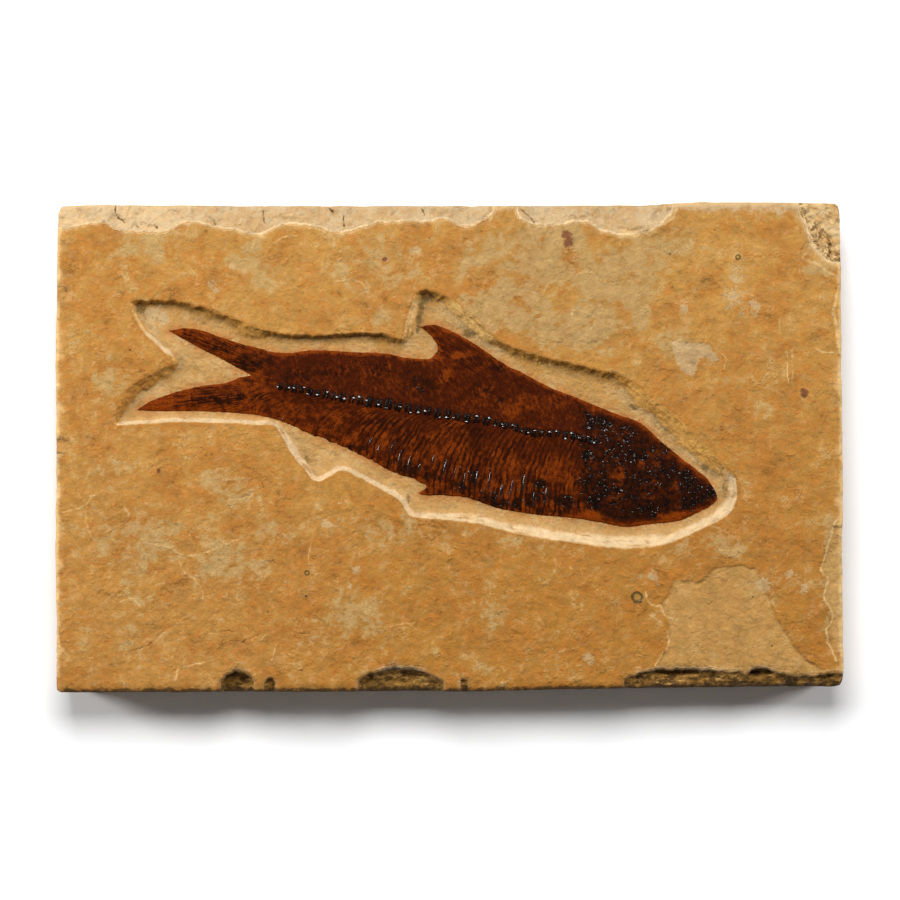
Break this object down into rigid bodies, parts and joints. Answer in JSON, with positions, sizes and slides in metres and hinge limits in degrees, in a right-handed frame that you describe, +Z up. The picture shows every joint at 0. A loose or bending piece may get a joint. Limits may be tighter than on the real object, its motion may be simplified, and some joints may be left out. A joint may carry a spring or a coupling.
{
  "type": "knightia fossil fish",
  "caption": "Pressed fossil fish with its backbone, ribs and fins, lying in a trench prepared into a flat rectangular slab of buff limestone with chipped edges.",
  "frame": {"origin": "middle of the slab's flat back face, on the surface that it lies on", "axes": "+X along the slab's long side towards the fish's head, +Y across it towards the fish's back, +Z up through the stone to the face that shows the fish"},
  "size_m": [0.1564, 0.097, 0.013],
  "materials": {
    "limestone": "matte, iron-stained, dimpled",
    "fossil_bone": "dark red-brown, varnished"
  },
  "bodies": {
    "root": {"limestone_slab": "limestone", "fossil_fish": "fossil_bone"}
  },
  "joints": []
}
